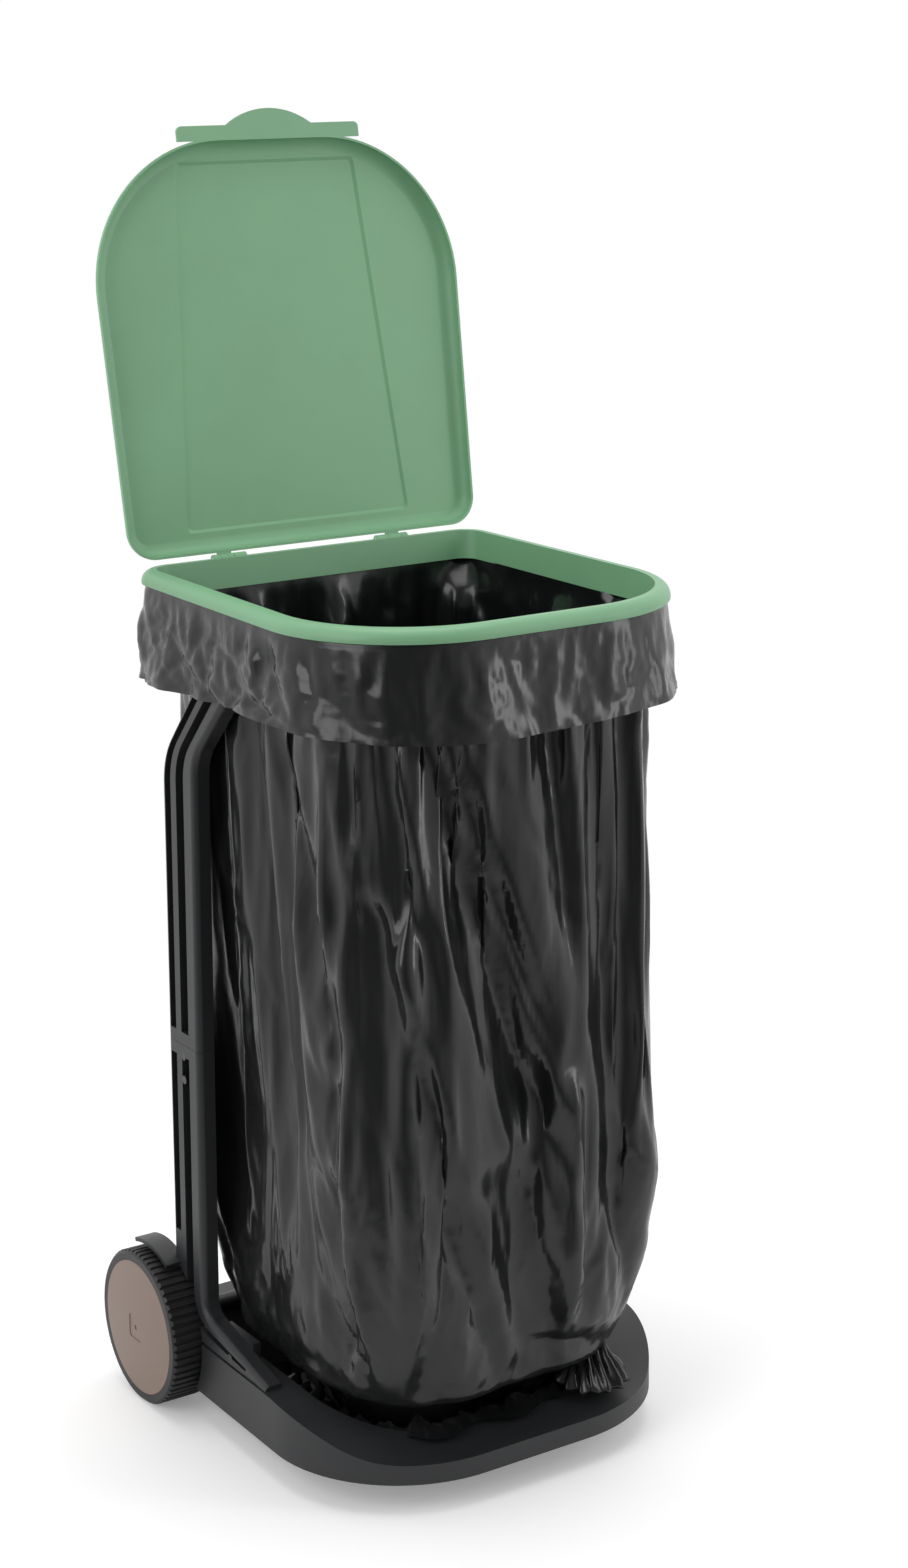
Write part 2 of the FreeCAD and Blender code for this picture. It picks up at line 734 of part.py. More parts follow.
def tread_face(x):
    """The tyre's outline with its cross ribs."""
    pitch = 2 * math.pi / tread_ribs
    groove = wheel_radius - tread_depth
    flank = tread_flank_share
    outline = ((0, wheel_radius), (tread_rib_share, wheel_radius), (tread_rib_share + flank, groove),
               (1 - flank, groove))
    points = []
    for i in range(tread_ribs):
        for share, radius in outline:
            angle = (i + share) * pitch
            points.append(Vec(x, wheel_y + radius * math.cos(angle), wheel_radius + radius * math.sin(angle)))
    points.append(points[0])
    return Part.Face(Part.makePolygon(points))


def make_wheel():
    inner = wheel_inner_x
    outer = wheel_face_x
    tread = tread_face(inner).extrude(Vec(wheel_width, 0, 0))
    shoulder = tread_shoulder
    edge = wheel_radius - shoulder
    half_line = [Vec(inner, 0, 0), Vec(inner, edge, 0), Vec(inner + shoulder, wheel_radius, 0),
                 Vec(outer - shoulder, wheel_radius, 0), Vec(outer, edge, 0), Vec(outer, 0, 0), Vec(inner, 0, 0)]
    blank = Part.Face(Part.makePolygon(half_line)).revolve(Vec(0, 0, 0), Vec(1, 0, 0), 360)
    blank.translate(Vec(0, wheel_y, wheel_radius))
    wheel = tread.common(blank)
    inside = wheel_radius - rim_wall - tread_depth
    middle = (inner + outer) / 2
    wheel = wheel.cut(rod_x(inside, inner, middle - web_thick / 2, wheel_y, wheel_radius))
    wheel = wheel.cut(rod_x(inside, middle + web_thick / 2, outer, wheel_y, wheel_radius))
    wheel = wheel.cut(rod_x(cap_radius + cap_gap, outer - cap_recess, outer, wheel_y, wheel_radius))
    hub = rod_x(hub_radius, inner, inner + hub_width, wheel_y, wheel_radius)
    wheel = joined([wheel, hub])
    return wheel.cut(rod_x(axle_radius + axle_clear, inner, outer, wheel_y, wheel_radius))


def make_hub_cap():
    base = wheel_face_x - cap_recess
    disc = rod_x(cap_radius, base, wheel_face_x, wheel_y, wheel_radius)
    tall = (cap_radius ** 2 + cap_dome ** 2) / (2 * cap_dome)
    ball = Part.makeSphere(tall, Vec(wheel_face_x + cap_dome - tall, wheel_y, wheel_radius))
    dome = ball.common(rod_x(cap_radius, wheel_face_x, wheel_face_x + cap_dome, wheel_y, wheel_radius))
    cap = joined([disc, dome])
    half = cap_mark / 2
    top = wheel_face_x + cap_dome
    corners = [(half, half), (-half, half), (-half, -half), (half, -half)]
    floor_x = top - cap_mark_depth
    square = rounded(corners, [cap_mark_corner] * 4, lambda p: Vec(floor_x, wheel_y + p.x, wheel_radius + p.y))
    cap = cap.cut(Part.Face(square).extrude(Vec(cap_dome, 0, 0)))
    dimple = rod_x(cap_dimple_radius, top - 2 * cap_mark_depth, top, wheel_y, wheel_radius)
    return cap.cut(dimple)


def make_axle():
    reach = wheel_inner_x + hub_width + hub_gap + clip_thick + axle_end
    return rod_x(axle_radius, -reach, reach, wheel_y, wheel_radius)


def make_clip():
    x0 = wheel_inner_x + hub_width + hub_gap
    clip = rod_x(clip_radius, x0, x0 + clip_thick, wheel_y, wheel_radius)
    return clip.cut(rod_x(axle_radius, x0, x0 + clip_thick, wheel_y, wheel_radius))


os.makedirs("parts", exist_ok=True)

save(make_clamp_ring(), "clamp_ring")
save(make_support_frame(), "support_frame")
save(make_bin_bag(), "bin_bag")
save(make_lid(), "lid")
save(make_base_tray(), "base_tray")
save(make_axle(), "axle")

upper_post, lower_post, tongue_inner_x, tongue_outer_x = make_posts()
pocket_floor_x = post_face_x - post_slot_depth
seam_screw_y = (post_front_at(post_seam_z) + post_back_at(post_seam_z)) / 2

joint_screws = []
for screw_z in (post_seam_z - post_tongue / 4, post_seam_z - 3 * post_tongue / 4):
    joint_screws.append((seam_screw_y, screw_z))
joint_set = []
frame_set = []
foot_set = []
seat_x = post_face_x - screw_head
for y, z in joint_screws:
    joint_set.append(screw(seat_x, y, z, screw_depth))
for y in foot_screw_places():
    foot_set.append(screw(seat_x, y, foot_screw_z, post_thick - screw_head + foot_lug_thick / 2))
for y in frame_screw_places():
    slope = (ring_half_front - ring_half_back) / (ring_back_y - ring_front_y)
    face = ring_half_back + slope * (ring_back_y - y) - frame_inset + frame_screw_seat_gap
    frame_set.append(screw(face, y, frame_screw_z, screw_depth))


def with_screw_holes(shape, screws):
    for item in screws:
        shape = shape.cut(item)
    return shape


def with_head_pockets(shape, places):
    for y, z in places:
        shape = shape.cut(rod_x(screw_head_radius, seat_x, beyond, y, z))
    return shape


foot_places = [(y, foot_screw_z) for y in foot_screw_places()]
upper_post = with_screw_holes(upper_post, joint_set + frame_set)
lower_post = with_head_pockets(lower_post, joint_screws + foot_places)
lower_post = with_screw_holes(lower_post, joint_set + foot_set)

sides = (("right", lambda shape: shape), ("left", mirrored))
for name, turned in sides:
    save(turned(upper_post), "upper_post_" + name)
    save(turned(lower_post), "lower_post_" + name)
    save(turned(make_wheel()), "wheel_" + name)
    save(turned(make_hub_cap()), "hub_cap_" + name)
    save(turned(make_clip()), "axle_clip_" + name)
    save(turned(make_hinge_pin()), "hinge_pin_" + name)
    save(turned(Part.makeCompound(joint_set)), "joint_screws_" + name)
    save(turned(Part.makeCompound(foot_set)), "foot_screws_" + name)
    save(turned(Part.makeCompound(frame_set)), "frame_screws_" + name)
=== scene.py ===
import math

import bmesh
import bpy
from mathutils import Matrix, Vector, noise


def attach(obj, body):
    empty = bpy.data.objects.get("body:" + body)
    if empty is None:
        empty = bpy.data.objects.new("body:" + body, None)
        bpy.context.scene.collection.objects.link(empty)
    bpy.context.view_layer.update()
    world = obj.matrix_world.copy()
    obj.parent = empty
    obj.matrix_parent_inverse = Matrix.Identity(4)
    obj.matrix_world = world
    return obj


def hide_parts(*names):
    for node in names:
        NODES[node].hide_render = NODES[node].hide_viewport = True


bl_info = {
    "name": "Bin Bag Holder",
    "version": (1, 0, 0),
    "blender": (4, 5, 0),
    "location": "3D View > Sidebar > Bin Bag Holder",
    "description": "Dresses the bin bag holder: its plastics, its glossy film bag and a plain studio",
    "category": "Object",
}

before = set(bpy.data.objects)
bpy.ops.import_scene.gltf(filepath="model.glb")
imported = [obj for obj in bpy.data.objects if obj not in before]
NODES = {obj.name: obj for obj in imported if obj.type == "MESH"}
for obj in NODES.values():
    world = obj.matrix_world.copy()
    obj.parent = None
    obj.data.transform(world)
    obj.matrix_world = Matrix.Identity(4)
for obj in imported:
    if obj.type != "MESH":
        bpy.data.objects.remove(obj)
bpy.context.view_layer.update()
MM = 0.001

GREEN_NODES = ("clamp_ring", "lid")
BLACK_NODES = ("base_tray", "support_frame", "upper_post_left", "upper_post_right",
               "lower_post_left", "lower_post_right")
WHEEL_NODES = ("wheel_left", "wheel_right")
CAP_NODES = ("hub_cap_left", "hub_cap_right")
STEEL_NODES = ("axle", "axle_clip_left", "axle_clip_right", "hinge_pin_left", "hinge_pin_right")
SCREW_NODES = ("joint_screws_left", "joint_screws_right", "foot_screws_left", "foot_screws_right",
               "frame_screws_left", "frame_screws_right")


class HolderColours(bpy.types.PropertyGroup):
    green: bpy.props.FloatVectorProperty(
        name="Green plastic", description="Colour of the ring and the lid",
        subtype="COLOR", default=(0.20, 0.42, 0.235), min=0, max=1)
    black: bpy.props.FloatVectorProperty(
        name="Black plastic", description="Colour of the tray and the brackets",
        subtype="COLOR", default=(0.020, 0.021, 0.023), min=0, max=1)
    wheel: bpy.props.FloatVectorProperty(
        name="Wheel plastic", description="Colour of the ribbed wheels",
        subtype="COLOR", default=(0.016, 0.016, 0.017), min=0, max=1)
    cap: bpy.props.FloatVectorProperty(
        name="Hub cap", description="Colour of the bronze-brown hub caps",
        subtype="COLOR", default=(0.235, 0.165, 0.13), min=0, max=1)
    film: bpy.props.FloatVectorProperty(
        name="Bag film", description="Colour of the polyethylene film",
        subtype="COLOR", default=(0.009, 0.0095, 0.0102), min=0, max=1)


class FilmSizes(bpy.types.PropertyGroup):
    columns: bpy.props.IntProperty(
        name="Columns", description="Mesh columns round the bag", default=320, min=40, max=400)
    rows: bpy.props.IntProperty(
        name="Rows", description="Mesh rows down the bag's body", default=150, min=20, max=300)
    frames: bpy.props.IntProperty(
        name="Frames", description="Length of the draping run in frames", default=22, min=5, max=60)
    pleat: bpy.props.FloatProperty(
        name="Pleat depth", description="Depth of the broad pleats in millimetres",
        default=1.5, min=0, max=20)
    gather: bpy.props.FloatProperty(
        name="Gather depth", description="Depth of the gathers under the clamp in millimetres",
        default=1.2, min=0, max=12)
    crumple: bpy.props.FloatProperty(
        name="Crumple depth", description="Depth of the small crumples in millimetres",
        default=1.0, min=0, max=8)
    fold: bpy.props.FloatProperty(
        name="Fold depth", description="Depth of the long folds against the depths listed for them",
        default=1.2, min=0, max=3)
    slack: bpy.props.FloatProperty(
        name="Slack", description="Share by which the film is longer than its form",
        subtype="FACTOR", default=0.009, min=0, max=0.2)
    pressure: bpy.props.FloatProperty(
        name="Air", description="How firmly the air in the bag presses its film out",
        default=0.6, min=0, max=10)


class StudioSizes(bpy.types.PropertyGroup):
    key: bpy.props.FloatProperty(
        name="Key light", description="Power of the large soft light",
        subtype="POWER", default=30.0, min=0)
    fill: bpy.props.FloatProperty(
        name="Fill light", description="Power of the side light",
        subtype="POWER", default=20.0, min=0)
    top: bpy.props.FloatProperty(
        name="Top light", description="Power of the light overhead",
        subtype="POWER", default=34.0, min=0)
    dark: bpy.props.FloatProperty(
        name="Dark side", description="Strength of the room behind the camera",
        default=0.16, min=0)
    bright: bpy.props.FloatProperty(
        name="Bright sides", description="Strength of the room's white side walls",
        default=1.0, min=0)


def new_group(name, inputs, outputs):
    """A shader node group with named float inputs and outputs, and its two end nodes."""
    group = bpy.data.node_groups.new(name, "ShaderNodeTree")
    for label, default in inputs:
        socket = group.interface.new_socket(label, in_out="INPUT", socket_type="NodeSocketFloat")
        socket.default_value = default
    for label in outputs:
        group.interface.new_socket(label, in_out="OUTPUT", socket_type="NodeSocketFloat")
    start = group.nodes.new("NodeGroupInput")
    end = group.nodes.new("NodeGroupOutput")
    return group, start, end


def add(tree, kind, **values):
    """A new node of one kind, with its settings."""
    node = tree.nodes.new(kind)
    for key, value in values.items():
        setattr(node, key, value)
    return node


def math_node(tree, operation, first, second):
    """The result of a sum of two numbers or sockets."""
    node = add(tree, "ShaderNodeMath", operation=operation)
    for index, value in enumerate((first, second)):
        if isinstance(value, (int, float)):
            node.inputs[index].default_value = value
        else:
            tree.links.new(value, node.inputs[index])
    return node.outputs[0]


def place_node(tree):
    """Where a point lies on the object, in metres."""
    return add(tree, "ShaderNodeTexCoord").outputs["Object"]


def noise_node(tree, place, scale, detail, rough):
    """An even noise from 0 to 1. Its scale is a number or a socket."""
    node = add(tree, "ShaderNodeTexNoise", noise_type="FBM", normalize=True)
    tree.links.new(place, node.inputs["Vector"])
    if isinstance(scale, (int, float)):
        node.inputs["Scale"].default_value = scale
    else:
        tree.links.new(scale, node.inputs["Scale"])
    node.inputs["Detail"].default_value = detail
    node.inputs["Roughness"].default_value = rough
    return node.outputs["Fac"]


def grain_group():
    """Moulded grain: a fine height, and a slow mask for uneven gloss."""
    if "moulded_grain" in bpy.data.node_groups:
        return bpy.data.node_groups["moulded_grain"]
    group, start, end = new_group("moulded_grain", [("Grain Scale", 900.0), ("Cloud Scale", 9.0)],
                                  ["Height", "Cloud"])
    place = place_node(group)
    fine = noise_node(group, place, start.outputs["Grain Scale"], 2.0, 0.6)
    cloud = noise_node(group, place, start.outputs["Cloud Scale"], 4.0, 0.55)
    group.links.new(fine, end.inputs["Height"])
    group.links.new(cloud, end.inputs["Cloud"])
    return group


def crumple_group():
    """Crumpled film: flat facets between sharp creases, at two sizes, and a slow gloss mask."""
    if "film_crumple" in bpy.data.node_groups:
        return bpy.data.node_groups["film_crumple"]
    group, start, end = new_group("film_crumple", [("Crease Scale", 16.0), ("Wrinkle Scale", 60.0),
                                                   ("Wrinkle Share", 0.3)], ["Height", "Cloud"])
    place = place_node(group)
    squeeze = add(group, "ShaderNodeMapping")
    squeeze.inputs["Scale"].default_value = (1.0, 1.0, 0.45)
    group.links.new(place, squeeze.inputs["Vector"])
    warp = add(group, "ShaderNodeTexNoise", noise_type="FBM")
    warp.inputs["Scale"].default_value = 7.0
    warp.inputs["Detail"].default_value = 3.0
    group.links.new(squeeze.outputs["Vector"], warp.inputs["Vector"])
    mixed = add(group, "ShaderNodeMixRGB", blend_type="LINEAR_LIGHT")
    mixed.inputs["Fac"].default_value = 0.06
    group.links.new(squeeze.outputs["Vector"], mixed.inputs["Color1"])
    group.links.new(warp.outputs["Color"], mixed.inputs["Color2"])
    heights = []
    for label in ("Crease Scale", "Wrinkle Scale"):
        cells = add(group, "ShaderNodeTexVoronoi", feature="F1")
        group.links.new(mixed.outputs["Color"], cells.inputs["Vector"])
        group.links.new(start.outputs[label], cells.inputs["Scale"])
        heights.append(cells.outputs["Distance"])
    small = math_node(group, "MULTIPLY", heights[1], start.outputs["Wrinkle Share"])
    height = math_node(group, "ADD", heights[0], small)
    cloud = noise_node(group, place, 12.0, 4.0, 0.6)
    group.links.new(height, end.inputs["Height"])
    group.links.new(cloud, end.inputs["Cloud"])
    return group


def spread(tree, mask, low, high):
    """Maps a mask from its usual range to low..high."""
    node = add(tree, "ShaderNodeMapRange")
    node.inputs["From Min"].default_value = 0.3
    node.inputs["From Max"].default_value = 0.7
    node.inputs["To Min"].default_value = low
    node.inputs["To Max"].default_value = high
    tree.links.new(mask, node.inputs["Value"])
    return node.outputs["Result"]


def tinted(tree, colour, mask, low, high):
    """The colour, lighter and darker by a slow mask."""
    factor = spread(tree, mask, low, high)
    node = add(tree, "ShaderNodeMixRGB", blend_type="MULTIPLY")
    node.inputs["Fac"].default_value = 1.0
    node.inputs["Color1"].default_value = (*colour, 1)
    tree.links.new(factor, node.inputs["Color2"])
    return node.outputs["Color"]


def plastic(name, colour, roughness, grain_scale, grain_depth, uneven=0.05):
    """Moulded plastic with a fine grain, uneven gloss and a slow tone."""
    material = bpy.data.materials.new(name)
    material.use_nodes = True
    tree = material.node_tree
    surface = tree.nodes["Principled BSDF"]
    grain = add(tree, "ShaderNodeGroup")
    grain.node_tree = grain_group()
    grain.inputs["Grain Scale"].default_value = grain_scale
    tree.links.new(tinted(tree, colour, grain.outputs["Cloud"], 1 - uneven, 1 + uneven),
                   surface.inputs["Base Color"])
    tree.links.new(spread(tree, grain.outputs["Cloud"], roughness - 0.04, roughness + 0.04),
                   surface.inputs["Roughness"])
    bump = add(tree, "ShaderNodeBump")
    bump.inputs["Strength"].default_value = grain_depth
    bump.inputs["Distance"].default_value = 0.0004
    tree.links.new(grain.outputs["Height"], bump.inputs["Height"])
    tree.links.new(bump.outputs["Normal"], surface.inputs["Normal"])
    return material


def film_material(name, colour):
    """Thin glossy polyethylene film."""
    material = bpy.data.materials.new(name)
    material.use_nodes = True
    tree = material.node_tree
    surface = tree.nodes["Principled BSDF"]
    crumple = add(tree, "ShaderNodeGroup")
    crumple.node_tree = crumple_group()
    tree.links.new(tinted(tree, colour, crumple.outputs["Cloud"], 0.85, 1.2), surface.inputs["Base Color"])
    tree.links.new(spread(tree, crumple.outputs["Cloud"], 0.16, 0.27), surface.inputs["Roughness"])
    surface.inputs["IOR"].default_value = 1.52
    bump = add(tree, "ShaderNodeBump")
    bump.inputs["Strength"].default_value = 0.35
    bump.inputs["Distance"].default_value = 0.004
    tree.links.new(crumple.outputs["Height"], bump.inputs["Height"])
    tree.links.new(bump.outputs["Normal"], surface.inputs["Normal"])
    return material


def metal(name, colour, roughness):
    """Plain or blackened metal with uneven gloss."""
    material = bpy.data.materials.new(name)
    material.use_nodes = True
    tree = material.node_tree
    surface = tree.nodes["Principled BSDF"]
    surface.inputs["Metallic"].default_value = 1.0
    grain = add(tree, "ShaderNodeGroup")
    grain.node_tree = grain_group()
    tree.links.new(tinted(tree, colour, grain.outputs["Cloud"], 0.9, 1.1), surface.inputs["Base Color"])
    tree.links.new(spread(tree, grain.outputs["Height"], roughness - 0.05, roughness + 0.08),
                   surface.inputs["Roughness"])
    return material


def dress(names, material):
    """Gives CAD nodes a material."""
    for name in names:
        data = NODES[name].data
        data.materials.clear()
        data.materials.append(material)


def smooth(names, degrees=35.0):
    """Smooth shading on rounded faces, with sharp moulded edges kept."""
    for name in names:
        piece = NODES[name]
        for polygon in piece.data.polygons:
            polygon.use_smooth = True
        piece.data.set_sharp_from_angle(angle=math.radians(degrees))


# Where the film runs, in millimetres. A plan is half the width at the back and at the front, the back,
# the front, and the radii of the back and the front corners.
RING_PLAN = (189.8, 197.4, 206.0, -206.0, 33.5, 136.0)
TRAY_PLAN = (190.0, 194.5, 216.0, -178.5, 60.0, 137.0)
FRAME_INNER = 9.6       # from the ring's plan in to the frame's inner face
FRAME_OUTER = 3.3       # and to its outer face
FRAME_TOP = 803.0
FRAME_SHOULDER = 797.0
CLAMP_LOW = 785.0
HEM_Z = 716.0
HEM_OUT = 7.5
POST_INNER = 173.0
POST_FRONT = -38.0
BODY_TOP = 786.0
BODY_DROP = 755.0
GIRTH = 1280.0
TRAY_TOP = 55.0
TRAY_SLOPE_INSET = 49.0
TRAY_SLOPE = 1.75
CORNER_STEPS = 32
COLLAR_STEPS = 34
POLE_SHARES = (0.8, 0.6, 0.4, 0.2, 0.0)
FILM_SEED = 11

# The bag's plan at levels from the clamp down, with the height of each
BODY_LEVELS = (
    (180.2, 187.8, 196.4, -196.4, 24.0, 126.4, 786.0),
    (168.5, 176.0, 193.0, -193.0, 40.0, 118.0, 764.0),
    (168.0, 178.0, 191.0, -191.0, 40.0, 96.0, 560.0),
    (166.0, 178.0, 186.0, -187.0, 45.0, 86.0, 300.0),
    (162.0, 174.0, 178.0, -182.0, 50.0, 90.0, 200.0),
    (156.0, 166.0, 165.0, -170.0, 55.0, 100.0, 150.0),
    (146.0, 154.0, 148.0, -150.0, 60.0, 96.0, 100.0),
    (126.0, 128.0, 122.0, -116.0, 60.0, 60.0, 84.0),
    (104.0, 104.0, 112.0, -92.0, 60.0, 60.0, 31.0),
)

# Broad pleats, gathers and waves of the hem: how many go round, how strong they are, and where they start
PLEATS = ((7, 1.0, 1.3), (11, 0.7, 0.4), (17, 0.5, 2.0))
PLEAT_TWIST = 0.12
GATHERS = ((31, 0.3), (47, 1.9), (64, 4.0))
GATHER_TWIST = 1.2
GATHER_SHARE = 0.8
COLLAR_WAVES = ((7, 1.6, 0.7), (16, 1.0, 2.1))

# Long folds of the body: the share round the bag and the height of the top end, then of the low end, the
# depth, and the width of the flanks towards the left and towards the right as seen from the front
FOLDS = (
    (0.702, 775, 0.718, 330, 9.0, 34.0, 14.0),
    (0.706, 690, 0.655, 440, 10.0, 34.0, 13.0),
    (0.655, 775, 0.636, 600, 11.0, 18.0, 26.0),
    (0.628, 775, 0.590, 540, 12.0, 36.0, 14.0),
    (0.604, 778, 0.478, 310, 19.0, 44.0, 16.0),
    (0.586, 778, 0.500, 460, 14.0, 26.0, 13.0),
    (0.632, 590, 0.530, 140, 14.0, 48.0, 17.0),
    (0.600, 560, 0.588, 190, -13.0, 30.0, 13.0),
    (0.472, 400, 0.468, 150, -13.0, 34.0, 14.0),
    (0.494, 775, 0.470, 500, 13.0, 28.0, 14.0),
    (0.456, 775, 0.438, 380, 12.0, 28.0, 14.0),
    (0.428, 775, 0.422, 240, 12.0, 30.0, 14.0),
    (0.660, 430, 0.668, 130, 12.0, 40.0, 15.0),
    (0.560, 310, 0.602, 90, 12.0, 16.0, 46.0),
    (0.510, 330, 0.470, 110, 12.0, 46.0, 15.0),
    (0.680, 330, 0.640, 110, 11.0, 34.0, 14.0),
    (0.760, 775, 0.735, 250, 11.0, 34.0, 15.0),
    (0.800, 775, 0.820, 200, 8.0, 34.0, 15.0),
    (0.380, 760, 0.395, 330, 11.0, 34.0, 15.0),
    (0.340, 775, 0.300, 300, 11.0, 40.0, 15.0),
    (0.240, 775, 0.200, 320, 8.0, 40.0, 15.0),
    (0.120, 775, 0.080, 260, 11.0, 40.0, 15.0),
    (0.020, 775, 0.960, 260, 11.0, 40.0, 15.0),
    (0.900, 775, 0.880, 260, 11.0, 40.0, 15.0),
)


def plan_points(spec, count):
    """Points spaced evenly along a plan from the middle of its back, each with the way out."""
    half_back, half_front, back, front, back_corner, front_corner = spec
    corners = [(0.0, back, 0.0),
               (half_back, back, back_corner), (half_front, front, front_corner),
               (-half_front, front, front_corner), (-half_back, back, back_corner)]
    path = []
    for index, (x, y, radius) in enumerate(corners):
        here = Vector((x, y))
        before = (Vector(corners[index - 1][:2]) - here).normalized()
        after = (Vector(corners[(index + 1) % 5][:2]) - here).normalized()
        if radius <= 0:
            path.append(here)
            continue
        half = before.angle(after) / 2
        middle = here + (before + after).normalized() * radius / math.sin(half)
        first = here + before * radius / math.tan(half) - middle
        turn = math.pi - 2 * half
        for step in range(CORNER_STEPS + 1):
            path.append(middle + Matrix.Rotation(-turn * step / CORNER_STEPS, 2) @ first)
    path.append(path[0].copy())
    lengths = [0.0]
    for near, far in zip(path, path[1:]):
        lengths.append(lengths[-1] + (far - near).length)
    points = []
    segment = 0
    for index in range(count):
        want = lengths[-1] * index / count
        while lengths[segment + 1] < want:
            segment += 1
        near, far = path[segment], path[segment + 1]
        spot = near.lerp(far, (want - lengths[segment]) / (lengths[segment + 1] - lengths[segment]))
        along = (far - near).normalized()
        points.append((spot, Vector((-along.y, along.x))))
    return points


def inset_plan(spec, inset):
    """A plan drawn in on all sides."""
    half_back, half_front, back, front, back_corner, front_corner = spec
    return (half_back - inset, half_front - inset, back - inset, front + inset,
            back_corner - inset, front_corner - inset)


def smoothstep(low, high, value):
    """0 at low, 1 at high, with a soft start and end."""
    share = min(max((value - low) / (high - low), 0.0), 1.0)
    return share * share * (3 - 2 * share)


def body_spec(height):
    """The bag's plan at a height, blended between its levels."""
    for upper, lower in zip(BODY_LEVELS, BODY_LEVELS[1:]):
        if height >= lower[6]:
            share = min(max((upper[6] - height) / (upper[6] - lower[6]), 0.0), 1.0)
            return tuple(a + (b - a) * share for a, b in zip(upper[:6], lower[:6]))
    return BODY_LEVELS[-1][:6]


def fold_height(share, height, sizes):
    """How far the film stands out from its plain form, in millimetres."""
    run = (BODY_TOP - height) / BODY_DROP
    hold = smoothstep(782.0, 735.0, height) * smoothstep(34.0, 130.0, height)
    angle = 2 * math.pi * (share + PLEAT_TWIST * run)
    broad = sum(weight * math.sin(waves * angle + phase) for waves, weight, phase in PLEATS)
    push = sizes.pleat * broad
    bunch = sum(1 - 2 * abs(math.sin(waves * math.pi * share + phase + GATHER_TWIST * run))
                for waves, phase in GATHERS)
    push += GATHER_SHARE * sizes.gather * bunch * smoothstep(560.0, 760.0, height)
    return push * hold


def way_round(share):
    """A share round the bag as the shorter way, from -0.5 to 0.5."""
    return (share + 0.5) % 1.0 - 0.5


def long_folds(share, height):
    """The long folds, each a sharp ridge or valley between two flat flanks."""
    blunt = 2.5
    push = 0.0
    for top_share, top, low_share, low, depth, left, right in FOLDS:
        if low - 60 < height < top + 10:
            centre = top_share + way_round(low_share - top_share) * (top - height) / (top - low)
            offset = way_round(share - centre) * GIRTH
            flank = left if offset > 0 else right
            ends = smoothstep(low - 60, low + 60, height) * smoothstep(top + 10, top - 40, height)
            push += depth * ends * max(0.0, 1 - math.hypot(offset, blunt) / flank)
    return push


def crease(piece, sizes):
    """Works the long folds into the draped film."""
    steep = 0.3
    shares = piece.data.attributes["share"].data
    heights = piece.data.attributes["height"].data
    moved = []
    for vertex in piece.data.vertices:
        out = vertex.normal.copy()
        out.z = 0
        push = 0.0
        if out.length > steep:
            push = sizes.fold * long_folds(shares[vertex.index].value, heights[vertex.index].value)
        spot = vertex.co / MM + out * push
        clear_of_posts(spot)
        moved.append(spot * MM)
    for vertex, spot in zip(piece.data.vertices, moved):
        vertex.co = spot


def crumple(spot, height, sizes):
    """Small sharp crumples, deeper near the top and the bottom of the bag."""
    place = Vector((spot.x * 0.020, spot.y * 0.020, spot.z * 0.011))
    ridges = noise.ridged_multi_fractal(place, 0.9, 2.1, 3, 1.0, 2.0)
    deep = 0.5 + 1.2 * smoothstep(640.0, 770.0, height) + 1.4 * smoothstep(260.0, 110.0, height)
    return sizes.crumple * (ridges - 1.1) * deep


def facets(spot, size, squat=1.1):
    """A field of flat facets with sharp ridges between them, as in film that has lain folded."""
    turned = Vector((spot.x + 0.35 * spot.z, spot.y - 0.3 * spot.z, spot.z * squat)) / size
    warp = noise.noise_vector(turned * 0.7) * 0.5
    near = noise.voronoi(turned + warp)[0]
    return (near[1] - near[0]) - 0.35


def film_object(name, work):
    """The film piece that a finished bmesh makes, smooth and with its faces outwards."""
    bmesh.ops.recalc_face_normals(work, faces=work.faces)
    mesh = bpy.data.meshes.new(name)
    work.to_mesh(mesh)
    work.free()
    piece = bpy.data.objects.new(name, mesh)
    bpy.context.scene.collection.objects.link(piece)
    mesh.polygons.foreach_set("use_smooth", [True] * len(mesh.polygons))
    return piece


def clear_of_posts(spot):
    """The film lies against the brackets and doesn't pass through them."""
    if spot.y > POST_FRONT and abs(spot.x) > POST_INNER:
        spot.x = math.copysign(POST_INNER, spot.x)


def wrap_grid(name, table):
    """A grid rolled into an open tube, one loop of points for each row of the table."""
    rows = len(table) - 1
    columns = len(table[0])
    work = bmesh.new()
    bmesh.ops.create_grid(work, x_segments=columns, y_segments=rows, size=0.5)
    layer = work.loops.layers.uv.new("film")
    shares = work.verts.layers.float.new("share")
    heights = work.verts.layers.float.new("height")
    for vertex in work.verts:
        share = vertex.co.x + 0.5
        down = vertex.co.y + 0.5
        for loop in vertex.link_loops:
            loop[layer].uv = (share, down)
        spot = table[round(down * rows)][round(share * columns) % columns]
        vertex[shares] = share % 1.0
        vertex[heights] = spot.z
        vertex.co = spot * MM
    bmesh.ops.remove_doubles(work, verts=work.verts, dist=1e-6)
    return film_object(name, work)


